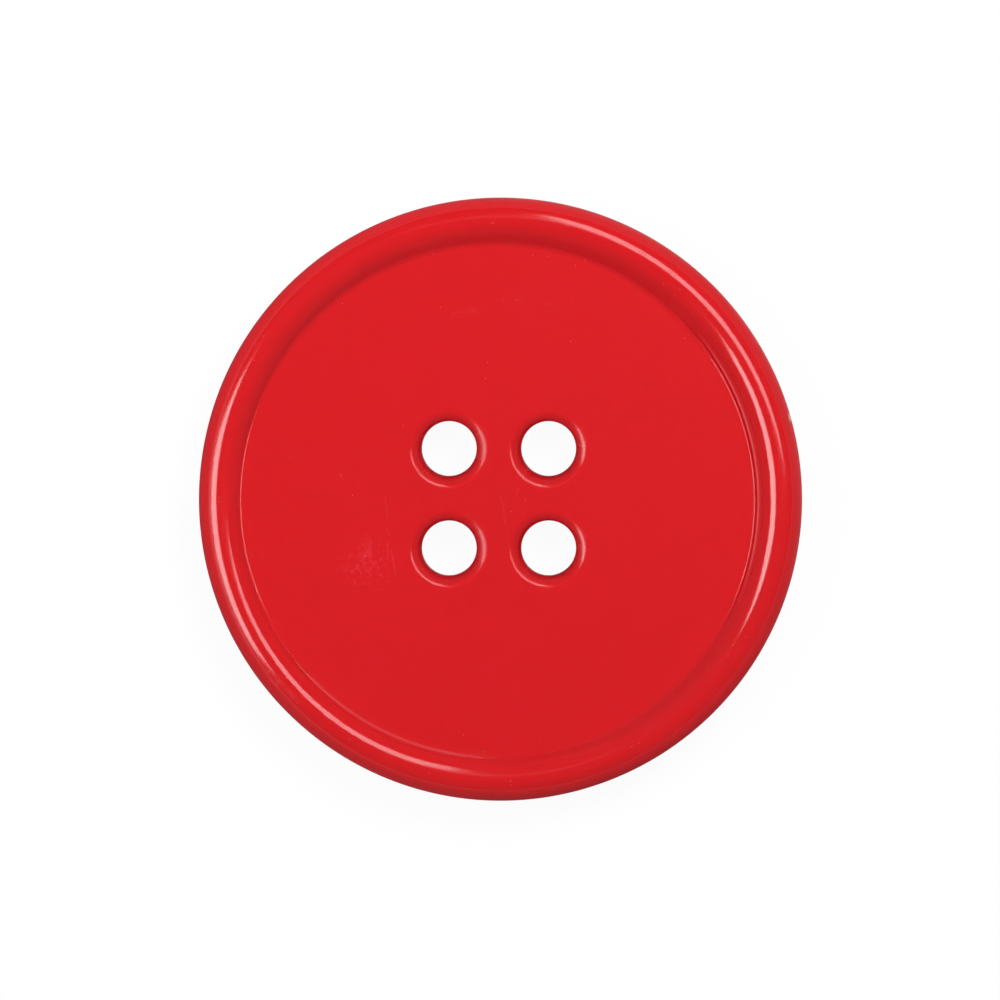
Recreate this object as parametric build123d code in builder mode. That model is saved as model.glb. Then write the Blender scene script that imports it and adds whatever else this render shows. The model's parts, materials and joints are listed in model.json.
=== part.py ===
from build123d import *
import math
import os

# A round sew-through button, moulded in one piece: a rolled rim around a shallow well, four thread
# holes with soft lips on a square, and a back that slopes down to a flat seat.
# The origin is the centre of the seat, and +Z points out of the face. Lengths are in millimetres.

# Whole button
button_diameter = 28.0
button_thickness = 3.4

# Rim: a roll over the crest, then a straight slope with a tight corner where it meets the floor
rim_roll_radius = 1.02
rim_slope_angle = 43.0
rim_slope_run = 0.25
well_corner_radius = 0.15

# Edge and back: a narrow land at the parting line, a bevel below it and a shoulder down to the seat
edge_land_height = 0.5
edge_bevel_width = 0.25
back_seat_diameter = 16.0

# Thread holes: soft lips, wider than they are deep, and a small bevel on the back
hole_diameter = 2.54
hole_spacing = 4.62
face_lip_width = 0.58
face_lip_depth = 0.46
hole_bevel_width = 0.3

# How far a cut runs past the face it starts from
cut_overrun = 1.0

# The well: the roll, the slope and the corner each take part of its depth
slope_angle = math.radians(rim_slope_angle)
slope_length = rim_slope_run / math.cos(slope_angle)
curve_drop = (rim_roll_radius + well_corner_radius) * (1 - math.cos(slope_angle))
well_depth = curve_drop + rim_slope_run * math.tan(slope_angle)
floor_height = button_thickness - well_depth

# The back's shoulder runs from the seat's edge to the lower edge of the bevel
seat_radius = back_seat_diameter / 2
land_bottom = button_thickness - rim_roll_radius - edge_land_height
shoulder_radius = button_diameter / 2 - edge_bevel_width
shoulder_height = land_bottom - edge_bevel_width

# Thread hole: the space that it takes out of the button, turned about the hole's own axis
hole_radius = hole_diameter / 2
face_mouth = hole_radius + face_lip_width
back_mouth = hole_radius + hole_bevel_width
with BuildPart() as thread_hole:
    with BuildSketch(Plane.XZ):
        with BuildLine():
            below = Line((0, -cut_overrun), (back_mouth, -cut_overrun))
            mouth = Line((back_mouth, 0), (hole_radius, hole_bevel_width))
            lip_centre = (face_mouth, floor_height - face_lip_depth)
            lip = EllipticalCenterArc(lip_centre, face_lip_width, face_lip_depth, 180, arc_size=-90)
            above = Line((face_mouth, floor_height + cut_overrun), (0, floor_height + cut_overrun))
            Line(below @ 1, mouth @ 0)
            Line(mouth @ 1, lip @ 0)
            Line(lip @ 1, above @ 0)
            Line(above @ 1, below @ 0)
        make_face()
    revolve(axis=Axis.Z)

# Button: half of its section, drawn from the seat out and back over the rim, is turned about the axis
with BuildPart() as button:
    with BuildSketch(Plane.XZ):
        with BuildLine():
            seat = Line((0, 0), (seat_radius, 0))
            shoulder = Line(seat @ 1, (shoulder_radius, shoulder_height))
            bevel = Line(shoulder @ 1, (button_diameter / 2, land_bottom))
            land = PolarLine(bevel @ 1, edge_land_height, 90)
            roll = JernArc(land @ 1, land % 1, rim_roll_radius, 90 + rim_slope_angle)
            slope = PolarLine(roll @ 1, slope_length, direction=roll % 1)
            corner = JernArc(slope @ 1, slope % 1, well_corner_radius, -rim_slope_angle)
            floor = Line(corner @ 1, (0, floor_height))
            Line(floor @ 1, seat @ 0)
        make_face()
    revolve(axis=Axis.Z)
    with GridLocations(hole_spacing, hole_spacing, 2, 2):
        add(thread_hole.part, mode=Mode.SUBTRACT)
button.part.label = "button"

os.makedirs("parts", exist_ok=True)
export_step(button.part, "parts/button.step")
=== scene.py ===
import json

import bmesh
import bpy
import numpy as np
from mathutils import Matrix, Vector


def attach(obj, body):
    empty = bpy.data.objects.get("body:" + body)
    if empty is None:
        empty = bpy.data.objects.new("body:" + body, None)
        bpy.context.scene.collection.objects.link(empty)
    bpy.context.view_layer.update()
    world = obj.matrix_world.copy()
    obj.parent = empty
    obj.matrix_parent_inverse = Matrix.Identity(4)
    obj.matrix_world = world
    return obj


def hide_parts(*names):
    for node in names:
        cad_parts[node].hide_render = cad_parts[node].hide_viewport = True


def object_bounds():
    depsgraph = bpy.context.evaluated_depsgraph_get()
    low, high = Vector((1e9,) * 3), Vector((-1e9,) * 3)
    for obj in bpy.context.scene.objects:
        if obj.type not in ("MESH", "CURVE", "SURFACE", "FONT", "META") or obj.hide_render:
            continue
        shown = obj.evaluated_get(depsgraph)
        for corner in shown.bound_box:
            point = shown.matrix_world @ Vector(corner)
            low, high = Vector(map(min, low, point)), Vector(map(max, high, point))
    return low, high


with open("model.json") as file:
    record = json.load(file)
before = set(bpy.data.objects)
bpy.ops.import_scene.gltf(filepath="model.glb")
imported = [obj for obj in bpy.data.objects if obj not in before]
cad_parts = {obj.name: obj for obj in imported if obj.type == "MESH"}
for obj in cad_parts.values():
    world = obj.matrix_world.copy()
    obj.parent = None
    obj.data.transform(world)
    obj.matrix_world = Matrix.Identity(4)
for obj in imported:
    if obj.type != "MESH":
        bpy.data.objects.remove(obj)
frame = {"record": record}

# A round red sew-through button, seen straight from the front on a pale floor.
# The scene is in metres, so lengths are written in millimetres times MM.
MM = 0.001

# Sizes that the frame gives: the outline, the height and the thread holes
cad_low, cad_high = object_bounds()
outer_radius = (cad_high.x - cad_low.x) / 2
top_height = cad_high.z
mounts = {mount["name"]: mount for mount in frame["record"]["mounts"]}
hole_mount = mounts["thread_hole_right_upper"]
hole_radius = hole_mount["dims"]["r_mm"] * MM
hole_reach = hole_mount["pos_m"][0]

# Rim and well; the well is a touch deeper and steeper than the solid's
roll_radius = 1.02 * MM
well_depth = 0.615 * MM
slope_angle = np.radians(45.0)

# Foot of the slope: soft, but sharper on some sides of the face, each given as side, spread and radius
soft_foot_radius = 0.35 * MM
sharp_feet = [
    (np.radians(186.0), np.radians(36.0), 0.03 * MM),
    (np.radians(214.0), np.radians(14.0), 0.015 * MM),
    (np.radians(244.0), np.radians(22.0), 0.2 * MM),
    (np.radians(273.0), np.radians(12.0), 0.04 * MM),
    (np.radians(3.0), np.radians(36.0), 0.08 * MM),
]

# Edge and back, with the small rounding that tumbling gives to each edge
edge_land_height = 0.5 * MM
edge_bevel_width = 0.25 * MM
seat_radius = 8.0 * MM
land_ease = 0.08 * MM
bevel_ease = 0.12 * MM
seat_ease = 0.5 * MM

# Thread holes: a lip is a tight arc at its mouth that runs into a wider one down its throat. The mouths
# sit a little off the holes' axes.
lip_width = 0.545 * MM
lip_mouth_radius = 0.42 * MM
lip_mouth_tilt = np.radians(22.0)
lip_throat_radius = 0.78 * MM
lip_drift = 0.055 * MM
lip_drift_side = np.radians(225.0)
hole_bevel_width = 0.3 * MM
hole_bevel_ease = 0.08 * MM

# Small faults of the mould: the floor lies aslant, which moves its edge off centre, and the holes are off
# centre too.
floor_lean = 0.0155
floor_high_side = np.radians(209.0)
hole_drift = np.array([-0.068, 0.047]) * MM

# The witness line of the mould: a low ridge near the floor's edge that shows on two sides
witness_radius = 11.98 * MM
witness_drift = 0.082 * MM
witness_drift_side = np.radians(227.0)
witness_half_width_left = 0.019 * MM
witness_half_width_right = 0.08 * MM
witness_height_left = 0.0071 * MM
witness_height_right = 0.049 * MM
witness_sides = np.radians([10.0, 178.0])
witness_spreads = np.radians([32.0, 26.0])

# Wear is how much the skin is dulled, from 0 to 1. The edge is worn past a tilt of the outer roll, and
# less so on its bright side.
worn_edge_start = np.radians(27.0)
worn_edge_end = np.radians(37.0)
bright_edge_side = np.radians(45.0)
bright_edge_spread = np.radians(75.0)
bright_edge_share = 0.6

# Wear of a stretch of the outer roll, which sets in over a share of its width
worn_rim = 0.065
worn_rim_side = np.radians(185.0)
worn_rim_spread = np.radians(30.0)
worn_rim_start_share = 0.5

# Wear of a stretch of the witness line
worn_line = 0.58
worn_line_side = np.radians(8.0)
worn_line_spread = np.radians(31.0)
worn_line_reach = 0.1 * MM

# Wear of a stretch of the slope's foot
worn_foot = 0.5
worn_foot_side = np.radians(244.0)
worn_foot_spread = np.radians(22.0)
worn_foot_reach = 0.1 * MM

# Wear of the holes' lips on the sides that glint, and more on the right of the two left holes
worn_lip = 0.18
worn_lip_sides = np.radians([5.0, 226.0])
worn_lip_spreads = np.radians([38.0, 36.0])
worn_lip_left = 0.27
worn_lip_left_spread = np.radians(50.0)

# Painted shade, from 0 to 1: the slope painted darker on two sides, standing in for shade there
slope_shades = [0.29, 0.2]
slope_shade_sides = np.radians([312.0, 140.0])
slope_shade_spreads = np.radians([50.0, 38.0])

# Painted shade in the holes: darker with the depth, stronger on one side and weaker on another
full_shade_depth = 0.66 * MM
strong_shade = 0.8
strong_shade_side = np.radians(300.0)
strong_shade_spread = np.radians(55.0)
weak_shade = 0.6
weak_shade_side = np.radians(70.0)
weak_shade_spread = np.radians(45.0)

# How a mark fades from its middle: rounded, or flat-topped with a steeper fall
round_power = 2
flat_power = 4

# Where the turned rim meets the four sheets that hold the thread holes
floor_join = 10.5 * MM
seat_join = 7.0 * MM

# Fineness of the meshes
points_round = 360
points_edge = 42
face_rings = dict(floor=6, shelf=16, foot=12, witness=24, slope=6, roll=24)
edge_rings = 46
ease_rows = 6
lip_rows = 22
lip_guard_share = -0.05
flat_row_shares = np.array([0, 0.35, 0.65, 0.88])
witness_margin_share = 1.3
finest_step = 0.005 * MM
merge_distance = 0.001 * MM

# Rim and well, worked out
crest_radius = outer_radius - roll_radius
floor_height = top_height - well_depth
land_bottom = top_height - roll_radius - edge_land_height
roll_start = crest_radius - roll_radius * np.sin(slope_angle)
roll_start_depth = roll_radius * (1 - np.cos(slope_angle))
level_corner = roll_start - (well_depth - roll_start_depth) / np.tan(slope_angle)


def fade(distance, reach, power=round_power):
    """1 at no distance and falling to 0: the exponential of minus a power of the distance over the
    reach."""
    return np.exp(-np.abs(distance / reach)**power)


def bell(around, side, spread, power=round_power):
    """1 at one side of the axis, fading with the angle away from it, taken the shorter way round."""
    apart = (around - side + np.pi) % (2 * np.pi) - np.pi
    return fade(apart, spread, power)


def floor_rise(x, y):
    """How far the slanting floor stands above its middle height at a place: its lean times the
    distance towards its high side."""
    return floor_lean * (x * np.cos(floor_high_side) + y * np.sin(floor_high_side))


def slope_foot(around):
    """The arc at the foot of the slope, at angles round the axis: its radius, where it starts and
    ends, and the floor's tilt there. The slope is a cone, so the slanting floor cuts it in a circle
    off the axis; the arc touches the floor and the cone on both sides of that circle, at the radius
    times the tangent of half its turn."""
    radius = soft_foot_radius
    for side, spread, sharp_radius in sharp_feet:
        radius = radius + (sharp_radius - radius) * bell(around, side, spread, flat_power)
    lean = floor_rise(np.cos(around), np.sin(around))
    tilt = np.arctan(lean)
    corner = level_corner * np.tan(slope_angle) / (np.tan(slope_angle) - lean)
    reach = radius * np.tan((slope_angle - tilt) / 2)
    return radius, corner - reach * np.cos(tilt), corner + reach * np.cos(slope_angle), tilt


def witness_line(around):
    """Radius, half width and height of the witness line at angles round the axis. It changes from its
    right form to its left form by the cosine, and stands out on two sides only, by bell curves of the
    angle."""
    radius = witness_radius + witness_drift * np.cos(around - witness_drift_side)
    left = (1 - np.cos(around)) / 2
    half_width = witness_half_width_right * (1 - left) + witness_half_width_left * left
    height = witness_height_right * (1 - left) + witness_height_left * left
    sides = zip(witness_sides, witness_spreads)
    shown = sum(bell(around, side, spread, flat_power) for side, spread in sides)
    return radius, half_width, height * shown


def face_height(radius, around):
    """Height of the face: the slanting floor, the foot's arc, the cone's straight slope and the rim's
    roll, which is part of a circle about a point below the crest. The witness line adds a low
    triangle."""
    foot_radius, foot, slope_start, tilt = slope_foot(around)
    floor = floor_height + radius * np.tan(tilt)
    slope = floor_height + (radius - level_corner) * np.tan(slope_angle)
    middle = slope_start - foot_radius * np.sin(slope_angle)
    middle_height = floor_height + (slope_start - level_corner) * np.tan(slope_angle)
    middle_height = middle_height + foot_radius * np.cos(slope_angle)
    arc = middle_height - np.sqrt(np.maximum(foot_radius**2 - (radius - middle)**2, 0))
    roll = np.sqrt(np.maximum(roll_radius**2 - (radius - crest_radius)**2, 0))
    roll = top_height - roll_radius + roll
    bands = [radius < foot, radius < slope_start, radius < roll_start]
    crest, half_width, crest_height = witness_line(around)
    ridge = crest_height * np.clip(1 - np.abs(radius - crest) / half_width, 0, 1)
    return np.select(bands, [floor, arc, slope], roll) + ridge


def eased_line(points, eases):
    """Line through the points in which a parabola rounds each inner corner: it leaves the line an
    ease before the corner and joins it an ease after. A guard point half an ease further on each side
    keeps the flats flat when shaded."""
    points = np.array(points, float)
    share = np.linspace(0, 1, ease_rows)[:, None]
    pieces = [points[:1]]
    for before, corner, after, ease in zip(points, points[1:], points[2:], eases):
        back = (before - corner) / np.linalg.norm(before - corner)
        ahead = (after - corner) / np.linalg.norm(after - corner)
        start = corner + back * ease
        end = corner + ahead * ease
        curve = start * (1 - share)**2 + corner * 2 * share * (1 - share) + end * share**2
        pieces += [start[None] + back * ease / 2, curve, end[None] + ahead * ease / 2]
    return np.concatenate(pieces + [points[-1:]])


def face_rows(around):
    """Radii of the rings from the floor's join to the crest, one column for each angle. They follow
    the foot and the witness line, so that no ring crosses them: floor, shelf, foot, witness, slope
    and roll in turn, in even steps of radius, or of tilt on the foot's arc and the roll."""
    foot_radius, foot, slope_start, tilt = slope_foot(around)
    middle = slope_start - foot_radius * np.sin(slope_angle)
    witness, half_width, _ = witness_line(around)
    margin = witness_margin_share * half_width
    shelf = np.minimum(foot, witness) - margin
    bend = np.clip(witness + margin, slope_start + finest_step, roll_start - finest_step)
    steps = {band: np.arange(count)[:, None] / count for band, count in face_rings.items()}
    return np.concatenate([
        floor_join + (shelf - floor_join) * steps["floor"],
        shelf + (foot - shelf) * steps["shelf"],
        middle + foot_radius * np.sin(tilt + (slope_angle - tilt) * steps["foot"]),
        slope_start + (bend - slope_start) * steps["witness"],
        bend + (roll_start - bend) * steps["slope"],
        crest_radius - roll_radius * np.sin(slope_angle * (1 - steps["roll"])) + 0 * around,
    ])


def edge_section():
    """Half section from the crest over the outer roll, a quarter of a circle, down the edge and along
    the back to the seat, as rows of radius and height."""
    turn = np.linspace(0, np.pi / 2, edge_rings)[:, None]
    outer_roll = roll_radius * np.concatenate([np.sin(turn), np.cos(turn)], axis=1)
    outer_roll = np.array([crest_radius, top_height - roll_radius]) + outer_roll
    land_foot = (outer_radius, land_bottom)
    bevel_foot = (outer_radius - edge_bevel_width, land_bottom - edge_bevel_width)
    corners = [outer_roll[-1], land_foot, bevel_foot, (seat_radius, 0), (seat_join, 0)]
    back = eased_line(corners, [land_ease, bevel_ease, seat_ease])
    return np.concatenate([outer_roll, back[1:]])


def rim_wear(radius, around):
    """Wear of the rim. The edge is worn by the outer roll's tilt; a stretch of the outer roll, of the
    witness line and of the slope's foot by bell curves of the angle, the two lines also by the
    distance from them."""
    outer = np.clip((radius - crest_radius) / roll_radius, 0, 1)
    edge = np.clip((np.arcsin(outer) - worn_edge_start) / (worn_edge_end - worn_edge_start), 0, 1)
    bright = bell(around, bright_edge_side, bright_edge_spread, flat_power)
    edge = edge * (1 - (1 - bright_edge_share) * bright)
    rim = np.clip(outer / worn_rim_start_share, 0, 1) * bell(around, worn_rim_side, worn_rim_spread)
    witness, half_width, _ = witness_line(around)
    line = bell(around, worn_line_side, worn_line_spread, flat_power)
    line = line * fade(radius - witness - half_width, worn_line_reach)
    _, foot_start, foot_end, _ = slope_foot(around)
    foot = bell(around, worn_foot_side, worn_foot_spread, flat_power)
    foot = foot * fade(radius - (foot_start + foot_end) / 2, worn_foot_reach, flat_power)
    return np.clip(worn_rim * rim + edge + worn_line * line + worn_foot * foot, 0, 1)


def rim_shade(radius, around):
    """Painted shade of the rim: the slope darkened on two sides, setting in over its foot and thinning
    out to the crest."""
    slope_darkenings = zip(slope_shades, slope_shade_sides, slope_shade_spreads)
    painted_shade = sum(darkness * bell(around, side, spread) for darkness, side, spread in slope_darkenings)
    _, foot_start, foot_end, _ = slope_foot(around)
    painted_shade = painted_shade * np.clip((radius - foot_start) / (foot_end - foot_start), 0, 1)
    return painted_shade * np.clip((crest_radius - radius) / (crest_radius - roll_start), 0, 1)


def turned_rim():
    """The rim carried round the axis: the face's rings with their heights, then the edge's and the
    back's. The fourth number of each point is its wear, which ends at the foot of the land; the fifth
    is its painted shade."""
    around = np.arange(points_round)[None] * 2 * np.pi / points_round
    face = face_rows(around)
    edge = edge_section()[:, :, None] + 0 * around
    radius = np.concatenate([face, edge[:, 0]])
    height = np.concatenate([face_height(face, around), edge[:, 1]])
    wear = rim_wear(radius, around) * (height > land_bottom)
    # painted shade: the slope darkened on two sides
    painted_shade = rim_shade(radius, around)
    return np.stack([radius * np.cos(around), radius * np.sin(around), height, wear, painted_shade], axis=2)


def quarter_loop(radius):
    """Closed loop round a quarter of a disc: out along X, round the arc and back along Y. The points
    on the two straight edges are evenly spread as seen from the hole's middle, and closer together
    near it."""
    last_sight = np.arctan2(hole_reach, radius - hole_reach)
    sight = np.linspace(3 * np.pi / 4, last_sight, points_edge, endpoint=False)
    edge = hole_reach + hole_reach / np.tan(sight)
    turn = np.linspace(0, np.pi / 2, points_round // 4 + 1)
    along_x = np.stack([edge, 0 * edge], axis=1)
    arc = radius * np.stack([np.cos(turn), np.sin(turn)], axis=1)
    along_y = np.stack([0 * edge, edge], axis=1)[:0:-1]
    return np.concatenate([along_x, arc, along_y])


def hole_lip(facing):
    """The lip of a thread hole: distance from the hole's axis and drop below the floor, at rows of
    directions from the axis. A tight arc leaves the floor level at the mouth and runs into a wider
    one that ends at the wall, in even steps of tilt; the mouth is a circle off the hole's axis. The
    first row is a guard on the floor."""
    width = lip_width + lip_drift * np.cos(facing - lip_drift_side)
    shift = (lip_mouth_radius - lip_throat_radius) * np.sin(lip_mouth_tilt)
    sink = lip_mouth_radius + (lip_throat_radius - lip_mouth_radius) * np.cos(lip_mouth_tilt)
    share = np.append(lip_guard_share, np.linspace(0, 1, len(facing) - 1))[:, None]
    tilt = np.arcsin((width - shift) / lip_throat_radius) * share
    tight = tilt < lip_mouth_tilt
    inward = np.where(tight, lip_mouth_radius * np.sin(tilt), shift + lip_throat_radius * np.sin(tilt))
    turned = np.cos(np.maximum(tilt, 0))
    drop = np.where(tight, lip_mouth_radius * (1 - turned), sink - lip_throat_radius * turned)
    return hole_radius + width - inward, drop


def lip_skin(facing, drop, left_hole):
    """Wear and painted shade of a lip, at its directions and drops. Wear is a bell curve of the angle on
    each side that glints, with one more on the right of a left hole. Painted shade is the drop over the
    depth of full shade, more on its strong side and less on its weak side."""
    glints = zip(worn_lip_sides, worn_lip_spreads)
    wear = worn_lip * sum(bell(facing, side, spread) for side, spread in glints)
    wear = wear + left_hole * (worn_lip_left - worn_lip) * bell(facing, 0, worn_lip_left_spread)
    painted_shade = 1 + strong_shade * bell(facing, strong_shade_side, strong_shade_spread)
    painted_shade = painted_shade - weak_shade * bell(facing, weak_shade_side, weak_shade_spread)
    return wear * (drop > 0), np.clip(painted_shade * drop / full_shade_depth, 0, 1)


def hole_back():
    """The hole below its lip, as rows of distance from its axis and height: the straight wall and the
    bevel on the back, with their corners eased."""
    back_mouth = hole_radius + hole_bevel_width
    wall_top = (hole_radius, floor_height - lip_throat_radius)
    wall_foot = (hole_radius, hole_bevel_width)
    corners = [wall_top, wall_foot, (back_mouth, 0), (back_mouth + hole_bevel_width, 0)]
    return eased_line(corners, [hole_bevel_ease, hole_bevel_ease])[1:]


def hole_sheet(quarter):
    """One quarter of the floor, its thread hole and the quarter of the seat below, as one sheet. Rows
    run from the floor's loop to the lip, down the hole and out to the seat's loop; each point keeps
    its direction from the hole's middle, which turns slowly from the floor's loop to the seat's. Each
    point ends with its wear and its painted shade, as the rim's do."""
    turn = quarter * np.pi / 2
    spin = np.array([[np.cos(turn), np.sin(turn)], [-np.sin(turn), np.cos(turn)]])
    middle = np.array([hole_reach, hole_reach]) + spin @ hole_drift
    floor_loop = quarter_loop(floor_join)
    seat_loop = quarter_loop(seat_join)
    back = hole_back()
    above = np.unwrap(np.arctan2(*(floor_loop - middle).T[::-1]))
    below = np.unwrap(np.arctan2(*(seat_loop - middle).T[::-1]))
    share = np.linspace(0, 1, lip_rows + len(back))[:, None]
    direction = above * (1 - share) + below * share
    facing = direction[:lip_rows] + turn
    lip, drop = hole_lip(facing)
    distance = np.concatenate([lip, back[:, :1] + 0 * direction[lip_rows:]])
    rings = middle + distance[:, :, None] * np.stack([np.cos(direction), np.sin(direction)], axis=2)
    reach = flat_row_shares[:, None, None]
    floor_rows = floor_loop * (1 - reach) + rings[0] * reach
    seat_rows = seat_loop * (1 - reach[::-1]) + rings[-1] * reach[::-1]
    flat = np.concatenate([floor_rows, rings, seat_rows]) @ spin
    on_floor = 0 * floor_rows[:, :, 0]
    on_back = 0 * direction[lip_rows:]
    on_seat = 0 * seat_rows[:, :, 0]
    rise = floor_rise(flat[:, :, 0], flat[:, :, 1])[:len(reach) + lip_rows]
    top = floor_height + rise - np.concatenate([on_floor, drop])
    height = np.concatenate([top, back[:, 1:] + on_back, on_seat])
    # painted shade in the lip, growing with its depth
    lip_wear, lip_shade = lip_skin(facing, drop, left_hole=(middle @ spin)[0] < 0)
    # painted shade: the hole's wall is darkened fully
    wall_shade = (back[:, 1:] > hole_bevel_width) + on_back
    wear = np.concatenate([on_floor, lip_wear, on_back, on_seat])
    painted_shade = np.concatenate([on_floor, lip_shade, wall_shade, on_seat])
    return np.concatenate([flat, np.stack([height, wear, painted_shade], axis=2)], axis=2)


def ring_faces(grid, first):
    """Four-cornered faces of a grid of points whose columns close into a ring: each joins two columns
    of one row to the same two of the next. First is the place of the grid's first point."""
    rows, columns = grid.shape[:2]
    row, column = np.meshgrid(np.arange(rows - 1), np.arange(columns), indexing="ij")
    after = (column + 1) % columns
    here = row * columns
    there = (row + 1) * columns
    corners = [here + column, there + column, there + after, here + after]
    return first + np.stack(corners, axis=2).reshape(-1, len(corners))


def button_body():
    """The whole button as one closed mesh: the turned rim and the four sheets, merged where they
    meet."""
    grids = [turned_rim()] + [hole_sheet(quarter) for quarter in range(4)]
    firsts = np.cumsum([0] + [grid.shape[0] * grid.shape[1] for grid in grids])
    points = np.concatenate([grid.reshape(-1, grid.shape[2]) for grid in grids])
    faces = np.concatenate([ring_faces(grid, first) for grid, first in zip(grids, firsts)])
    mesh = bpy.data.meshes.new("button_body")
    mesh.from_pydata(points[:, :3].tolist(), [], faces.tolist())
    mesh.attributes.new("wear", "FLOAT", "POINT").data.foreach_set("value", points[:, 3])
    # this attribute carries the painted shade of the slope and the holes
    mesh.attributes.new("painted_shade", "FLOAT", "POINT").data.foreach_set("value", points[:, 4])
    work = bmesh.new()
    work.from_mesh(mesh)
    bmesh.ops.remove_doubles(work, verts=work.verts, dist=merge_distance)
    bmesh.ops.recalc_face_normals(work, faces=work.faces)
    work.to_mesh(mesh)
    work.free()
    mesh.polygons.foreach_set("use_smooth", np.ones(len(mesh.polygons), bool))
    body = bpy.data.objects.new("button_body", mesh)
    bpy.context.scene.collection.objects.link(body)
    return body


# The photograph's frame, for marks that are given by photograph pixel: in pixels its width, the outline's
# width and the button's middle; the ways that its columns and rows run; and the size of a pixel.
photo_pixels = 1000
outline_pixels = 603.26
photo_middle = np.array([500.0, 498.66])
photo_ways = np.array([1, -1])
pixel = 2 * outer_radius / outline_pixels

# Hairline scratches on the floor, each from one photograph pixel to another
hairlines = {
    "upper_left": ((339, 473), (342, 478)),
    "beside_hole_high": ((384.7, 495.7), (387.2, 516.4)),
    "beside_hole_middle": ((385.6, 527.2), (389.3, 535.5)),
    "beside_hole_low": ((387.2, 543.0), (387.6, 557.9)),
    "beside_hole_long": ((390.9, 549.6), (395.5, 575.3)),
    "patch_top": ((363.2, 543.0), (368.1, 552.9)),
    "patch_upright": ((370.6, 538.8), (369.8, 548.8)),
    "patch_right": ((368.1, 556.2), (374.0, 566.2)),
    "patch_left": ((356.5, 564.5), (361.1, 573.7)),
    "patch_cross": ((354.9, 567.8), (350.7, 571.2)),
    "patch_low": ((365.7, 567.8), (371.0, 575.3)),
    "patch_tick": ((359.0, 559.6), (363.2, 562.0)),
    "patch_foot": ((353.6, 579.5), (354.9, 583.6)),
    "middle_high": ((499.6, 496.5), (500.6, 501.6)),
    "middle": ((502.1, 501.6), (503.7, 510.8)),
    "middle_low": ((504.7, 515.9), (504.9, 523.0)),
    "middle_right": ((518.0, 488.4), (516.4, 493.5)),
}
hairline_width = 0.06 * MM
hairline_strength = 0.33

# Hazy strokes, wider and fainter, from one photograph pixel to another
hazes = {
    "top_right": ((503, 301), (532, 299)),
    "top_right_end": ((532, 299), (552, 306)),
    "top_left": ((448, 315), (462, 311)),
    "top_left_end": ((462, 311), (482, 309)),
    "rim_trail": ((274, 678), (298, 702)),
    "left": ((284, 462), (298, 446)),
}
haze_width = 0.16 * MM

# The scuffed patch on the floor, by photograph pixel
scuff_middle = (365, 562)
scuff_reach = 1.8 * MM

# The pale mark on the edge where the gate of the mould was cut off, by photograph pixel
gate_mark = ((788.6, 415.5), (789.4, 418.5))
gate_mark_width = 0.17 * MM

# Dents that break the gloss of the roll, by photograph pixel
dents = [
    (640, 252), (643, 254), (669, 272), (672, 274), (707, 310), (510, 780), (510, 784), (741, 407),
]
dent_size = 0.07 * MM

# Pale specks of dust and nicks, by photograph pixel
pale_specks = [
    (532, 255), (548, 256), (585, 260), (575, 265), (440, 307), (433, 254), (403, 425), (491, 223),
    (493, 223), (732, 644), (745, 636), (752, 655), (727, 655), (463, 734), (429, 772), (525, 500),
    (511, 511), (270, 670), (273, 674), (267, 664), (271, 668), (268, 671), (297, 702), (349, 738),
    (254, 360), (242, 382), (219, 497), (217, 505), (219, 501), (510, 780), (568, 571), (485, 378),
    (487, 362), (684, 338), (679, 289), (663, 284), (570, 341), (342, 303), (458, 206), (263, 336),
    (341, 475), (352, 495), (638, 742), (631, 746),
]
pale_speck_size = 0.045 * MM

# Brown specks of dirt, by photograph pixel
dirt_specks = [(441, 576), (444, 578), (438, 577), (484, 751), (742, 417), (300, 668), (304, 674)]
dirt_speck_size = 0.06 * MM

# Fine dust all over: a speck in each cell of a random pattern, as a share of the cell
dust_per_length = 1.4 / MM
dust_speck_share = 0.045
dust_strength = 0.5

# Uneven textures: how many waves to a length, and how fine their detail is
cloud_texture = dict(per_length=0.4 / MM, detail=3.0)
grain_texture = dict(per_length=11 / MM, detail=2.0)
rub_texture = dict(per_length=5 / MM, detail=4.0)

# The levels of the rub texture between which rubbing sets in, and its strength
rub_levels = (0.5, 0.7)
rub_strength = 0.5

# Colours: the darkest and palest of the plastic's own red, and what lies on it
red_dark = (0.665, 0.0042, 0.009, 1)
red_pale = (0.685, 0.005, 0.0105, 1)
# the darker red of the painted shade
painted_shade_colour = (0.35, 0.016, 0.02, 1)
faint_colour = (0.8, 0.03, 0.06, 1)
dust_colour = (0.85, 0.1, 0.1, 1)
gate_colour = (0.85, 0.5, 0.32, 1)
pale_speck_colour = (0.82, 0.1, 0.1, 1)
dirt_colour = (0.3, 0.12, 0.04, 1)

# Roughness of the clean skin, by its grain, and what full wear, faint marks and dents add to it
clean_roughness = (0.08, 0.14)
worn_roughness = 0.9
faint_roughness = 0.4
dent_roughness = 0.5

# Relief of the grain, how many times deeper it is where the skin is worn, and the wear that it takes
grain_relief = 0.0004 * MM
worn_grain_times = 8.0
worn_grain_start = 0.08

# How the plastic bends light, and how far light goes into it, with each colour's share of that
plastic_index = 1.5
glow_depth = 0.3 * MM
glow_shares = (1.0, 0.3, 0.3)


def on_face(place):
    """The point of the face, in metres, that a photograph pixel shows: its way from the button's
    middle times the size of a pixel, at the face's height."""
    flat = (np.array(place) - photo_middle) * pixel * photo_ways
    return np.append(flat, face_height(np.hypot(*flat), np.arctan2(flat[1], flat[0])))


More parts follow.
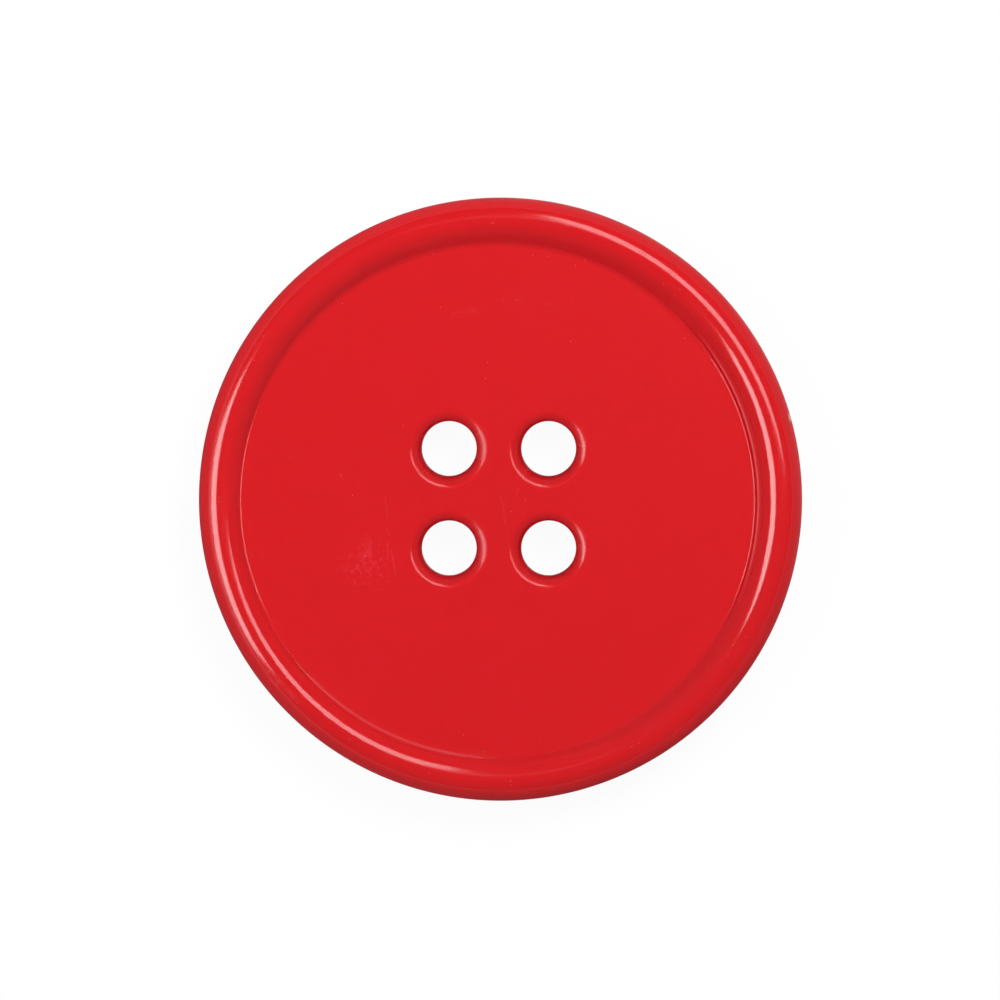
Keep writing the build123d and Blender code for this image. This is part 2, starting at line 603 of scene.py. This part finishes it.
def add_node(tree, kind, sockets=None, **settings):
    """Adds a shader node. Settings are its properties; sockets are its inputs, each a value or an
    output to link."""
    made = tree.nodes.new("ShaderNode" + kind)
    for name, value in settings.items():
        setattr(made, name, value)
    for socket, value in (sockets or {}).items():
        if isinstance(value, bpy.types.NodeSocket):
            tree.links.new(value, made.inputs[socket])
        else:
            made.inputs[socket].default_value = value
    return made


def number_step(tree, operation, *values, clamp=False):
    """One step of arithmetic on numbers or outputs; clamped, its result stays between 0 and 1."""
    made = add_node(tree, "Math", dict(enumerate(values)), operation=operation, use_clamp=clamp)
    return made.outputs[0]


def vector_step(tree, operation, first, second):
    """One step of arithmetic on two vectors; its outputs are Vector and Value."""
    return add_node(tree, "VectorMath", {0: first, 1: second}, operation=operation).outputs


def remap(tree, value, span, results):
    """Carries a span of values over to a span of results in even steps, and holds the result past its
    ends."""
    sockets = {0: value, 1: span[0], 2: span[1], 3: results[0], 4: results[1]}
    return add_node(tree, "MapRange", sockets).outputs[0]


def noise(tree, place, per_length, detail):
    """An uneven texture from 0 to 1."""
    sockets = {"Vector": place, "Scale": per_length, "Detail": detail}
    return add_node(tree, "TexNoise", sockets).outputs["Fac"]


def point_value(tree, name):
    """A number that each point of the mesh carries, such as its wear."""
    return add_node(tree, "Attribute", attribute_name=name).outputs["Fac"]


def blend(tree, mask, below, above):
    """Mixes two colours by a mask; each is a colour or an output to link."""
    return add_node(tree, "Mix", {0: mask, 6: below, 7: above}, data_type="RGBA").outputs[2]


def new_material(name):
    """A material with an empty node tree and its output node."""
    material = bpy.data.materials.new(name)
    material.use_nodes = True
    material.node_tree.nodes.clear()
    return material, material.node_tree, material.node_tree.nodes.new("ShaderNodeOutputMaterial")


def hairline_mask():
    """Node group: 1 on the straight line between two points, fading to 0 at a width. It takes the
    nearest point of the line, which is the start plus a clamped share of the way to the end."""
    group = bpy.data.node_groups.new("hairline_mask", "ShaderNodeTree")
    for name in ("Place", "Start", "End"):
        group.interface.new_socket(name, in_out="INPUT", socket_type="NodeSocketVector")
    group.interface.new_socket("Width", in_out="INPUT", socket_type="NodeSocketFloat")
    group.interface.new_socket("Mask", in_out="OUTPUT", socket_type="NodeSocketFloat")
    given = group.nodes.new("NodeGroupInput").outputs
    way = vector_step(group, "SUBTRACT", given["End"], given["Start"])["Vector"]
    gone = vector_step(group, "SUBTRACT", given["Place"], given["Start"])["Vector"]
    reach = vector_step(group, "DOT_PRODUCT", gone, way)["Value"]
    whole = vector_step(group, "DOT_PRODUCT", way, way)["Value"]
    share = number_step(group, "DIVIDE", reach, whole, clamp=True)
    step = add_node(group, "VectorMath", {0: way, "Scale": share}, operation="SCALE").outputs["Vector"]
    apart = vector_step(group, "DISTANCE", gone, step)["Value"]
    mask = remap(group, apart, (0.0, given["Width"]), (1.0, 0.0))
    group.links.new(mask, group.nodes.new("NodeGroupOutput").inputs["Mask"])
    return group


def greatest(tree, masks):
    """The greatest of several masks, as a chain of Maximum nodes."""
    total = masks[0]
    for mask in masks[1:]:
        total = number_step(tree, "MAXIMUM", total, mask)
    return total


def stroke_marks(tree, place, group, strokes, width):
    """One mask for several strokes of one width, each from one photograph pixel to another."""
    masks = []
    for start, end in strokes:
        line = add_node(tree, "Group", node_tree=group)
        tree.links.new(place, line.inputs["Place"])
        line.inputs["Start"].default_value = on_face(start)
        line.inputs["End"].default_value = on_face(end)
        line.inputs["Width"].default_value = width
        masks.append(line.outputs["Mask"])
    return greatest(tree, masks)


def speck_marks(tree, place, pixels, size):
    """One mask for specks: each is 1 at its middle and fades to 0 at its size."""
    masks = []
    for spot in pixels:
        apart = vector_step(tree, "DISTANCE", place, on_face(spot))["Value"]
        masks.append(remap(tree, apart, (0.0, size), (1.0, 0.0)))
    return greatest(tree, masks)


def faint_marks(tree, place, stroke):
    """One mask for what only pales and dulls the red a little: the hairlines, and the hazes and the
    scuffed patch, which the rub texture breaks up."""
    rubbed = remap(tree, noise(tree, place, **rub_texture), rub_levels, (0.0, rub_strength))
    scuffed = speck_marks(tree, place, [scuff_middle], scuff_reach)
    scuffed = number_step(tree, "MULTIPLY", scuffed, rubbed)
    hazy = stroke_marks(tree, place, stroke, hazes.values(), haze_width)
    hazy = number_step(tree, "MULTIPLY", hazy, rubbed)
    scratched = stroke_marks(tree, place, stroke, hairlines.values(), hairline_width)
    faint = number_step(tree, "MULTIPLY_ADD", scratched, hairline_strength, hazy)
    return number_step(tree, "MAXIMUM", faint, scuffed)


def red_layers(tree, place, stroke, faint):
    """The colour: a slightly uneven red, and over it in turn painted shade on the slope and in the holes,
    faint marks, dust, the gate's mark, pale specks and dirt, each mixed in by its mask."""
    red = blend(tree, noise(tree, place, **cloud_texture), red_dark, red_pale)
    cells = add_node(tree, "TexVoronoi", {"Vector": place, "Scale": dust_per_length}).outputs["Distance"]
    layers = [
        # painted shade on the slope and in the holes, mixed in as a darker red
        (point_value(tree, "painted_shade"), painted_shade_colour),
        (faint, faint_colour),
        (remap(tree, cells, (0.0, dust_speck_share), (dust_strength, 0.0)), dust_colour),
        (stroke_marks(tree, place, stroke, [gate_mark], gate_mark_width), gate_colour),
        (speck_marks(tree, place, pale_specks, pale_speck_size), pale_speck_colour),
        (speck_marks(tree, place, dirt_specks, dirt_speck_size), dirt_colour),
    ]
    for mask, colour in layers:
        red = blend(tree, mask, red, colour)
    return red


def skin_finish(tree, place, faint):
    """Roughness and bump of the skin. A fine grain gives the clean roughness, to which wear, faint
    marks and dents add theirs; the grain's relief is deeper where the skin is worn."""
    wear = point_value(tree, "wear")
    grain = noise(tree, place, **grain_texture)
    dented = speck_marks(tree, place, dents, dent_size)
    rough = remap(tree, grain, (0.0, 1.0), clean_roughness)
    rough = number_step(tree, "MULTIPLY_ADD", wear, worn_roughness, rough)
    rough = number_step(tree, "MULTIPLY_ADD", faint, faint_roughness, rough)
    rough = number_step(tree, "MULTIPLY_ADD", dented, dent_roughness, rough)
    times = remap(tree, wear, (0.0, worn_grain_start), (1.0, worn_grain_times))
    relief = number_step(tree, "MULTIPLY", grain, times)
    bump = add_node(tree, "Bump", {"Height": relief, "Strength": 1.0, "Distance": grain_relief})
    return rough, bump.outputs["Normal"]


def red_gloss():
    """Glossy red plastic that light goes a little way into, under a smooth skin that is duller where
    it is worn, with hairline scratches, a scuffed patch, pale specks, some dirt, and painted shade on the
    slope and in the holes."""
    material, tree, output = new_material("red_gloss")
    place = add_node(tree, "TexCoord").outputs["Object"]
    stroke = hairline_mask()
    faint = faint_marks(tree, place, stroke)
    rough, bump = skin_finish(tree, place, faint)
    plastic = add_node(tree, "BsdfPrincipled", {
        "Base Color": red_layers(tree, place, stroke, faint),
        "Roughness": rough,
        "Normal": bump,
        "IOR": plastic_index,
        "Subsurface Weight": 1.0,
        "Subsurface Radius": glow_shares,
        "Subsurface Scale": glow_depth,
    })
    tree.links.new(plastic.outputs["BSDF"], output.inputs["Surface"])
    return material


# Stage: a pale floor in a dim surround, which is brighter below the horizon
floor_size = 4.0
floor_shadow_share = 0.05
surround_light = 0.25
bounce_light = 0.5
horizon_reach = 0.02

# Glowing panels that the gloss mirrors: their light, and their corners as slopes away from straight up
panel_height = 0.8
panels = {
    "panel_right": dict(light=5.8, slopes=[(0.1, 0.09), (0.61, 0.08), (0.13, 0.86), (0.07, 0.3)]),
    "panel_left": dict(light=8.2, slopes=[
        (-0.44, 0.22), (-0.67, 0.31), (-1.2, 0.27), (-1.2, -0.15), (-0.95, -0.58), (-0.44, -0.32)]),
    "panel_strip": dict(light=1.4, slopes=[(0.07, 0.28), (0.07, 0.33), (-0.16, 0.33), (-0.16, 0.3)]),
}

# Soft lamps on the sides of the two large panels, which light the colour: power, size and place
lamps = {
    "right_lamp": dict(power=0.1435, size=0.07, place=(0.041, 0.056, 0.125)),
    "left_lamp": dict(power=0.044, size=0.07, place=(-0.068, -0.005, 0.09)),
}


def polygon(name, corners, height):
    """A flat polygon at a height, for the stage."""
    mesh = bpy.data.meshes.new(name)
    mesh.from_pydata([(x, y, height) for x, y in corners], [], [list(range(len(corners)))])
    made = bpy.data.objects.new(name, mesh)
    bpy.context.scene.collection.objects.link(made)
    return made


def pale_floor():
    """A white floor that keeps a faint shadow. It is seen from above only, and the light that it
    throws back up comes from the surround below it, so that the button's back is lit too."""
    half = floor_size / 2
    floor = polygon("floor", [(-half, -half), (half, -half), (half, half), (-half, half)], 0)
    material, tree, output = new_material("pale_floor")
    path = add_node(tree, "LightPath").outputs
    direct = number_step(tree, "MAXIMUM", path["Is Camera Ray"], path["Is Glossy Ray"])
    seen = number_step(tree, "MAXIMUM", direct, path["Is Transmission Ray"])
    below = add_node(tree, "NewGeometry").outputs["Backfacing"]
    above = number_step(tree, "SUBTRACT", seen, below, clamp=True)
    shade = add_node(tree, "BsdfDiffuse", {"Color": (floor_shadow_share,) * 3 + (1,)}).outputs[0]
    glow = add_node(tree, "Emission", {"Strength": 1 - floor_shadow_share}).outputs[0]
    white = add_node(tree, "AddShader", {0: shade, 1: glow}).outputs[0]
    clear = add_node(tree, "BsdfTransparent").outputs[0]
    both = add_node(tree, "MixShader", {0: above, 1: clear, 2: white}).outputs[0]
    tree.links.new(both, output.inputs["Surface"])
    floor.data.materials.append(material)


def glowing_panel(name, slopes, light):
    """A flat panel overhead whose corners lie at slopes from straight up, as the button's rim mirrors
    them. Only the gloss sees it; the soft lamps light the colour."""
    panel = polygon(name, np.array(slopes) * panel_height, panel_height)
    panel.visible_camera = False
    panel.visible_diffuse = False
    material, tree, output = new_material(name)
    glow = add_node(tree, "Emission", {"Strength": light})
    tree.links.new(glow.outputs[0], output.inputs["Surface"])
    panel.data.materials.append(material)


def soft_lamp(name, power, size, place):
    """A round lamp at a place, turned to the button, that lights its colour only and is never seen
    itself."""
    data = bpy.data.lights.new(name, "AREA")
    data.shape = "DISK"
    data.energy = power
    data.size = size
    lamp = bpy.data.objects.new(name, data)
    lamp.location = place
    lamp.rotation_euler = lamp.location.to_track_quat("Z", "Y").to_euler()
    lamp.visible_camera = False
    lamp.visible_glossy = False
    bpy.context.scene.collection.objects.link(lamp)


def surround():
    """The light from all round: dim above the horizon, and below it the light that a pale floor
    throws back."""
    world = bpy.data.worlds.new("surround")
    world.use_nodes = True
    tree = world.node_tree
    place = add_node(tree, "TexCoord").outputs["Generated"]
    up = add_node(tree, "SeparateXYZ", {0: place}).outputs["Z"]
    level = remap(tree, up, (-horizon_reach, horizon_reach), (bounce_light, surround_light))
    background = tree.nodes["Background"]
    background.inputs["Color"].default_value = (1, 1, 1, 1)
    tree.links.new(level, background.inputs["Strength"])
    bpy.context.scene.world = world


def studio():
    """Floor, panels, lamps and the surround."""
    pale_floor()
    for name, panel in panels.items():
        glowing_panel(name, **panel)
    for name, lamp in lamps.items():
        soft_lamp(name, **lamp)
    surround()
    bpy.context.scene.view_settings.view_transform = "Standard"


# Camera: straight above the face, as far off as a long lens, over the middle of the photograph's frame
camera_distance = 0.5
camera_sensor = 36.0
camera_offset = ((photo_pixels - 1) / 2 - photo_middle) * pixel * photo_ways


def camera():
    """Looks straight down, with the outline's plane filling the frame as in the photograph: the lens
    is to the sensor as the distance is to the width that the photograph shows."""
    data = bpy.data.cameras.new("camera")
    data.sensor_width = camera_sensor
    data.lens = camera_sensor * camera_distance / (photo_pixels * pixel)
    made = bpy.data.objects.new("camera", data)
    made.location = (*camera_offset, top_height - roll_radius + camera_distance)
    bpy.context.scene.collection.objects.link(made)
    bpy.context.scene.camera = made


body = button_body()
body.data.materials.append(red_gloss())
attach(body, "root")
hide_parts("button")
studio()
camera()
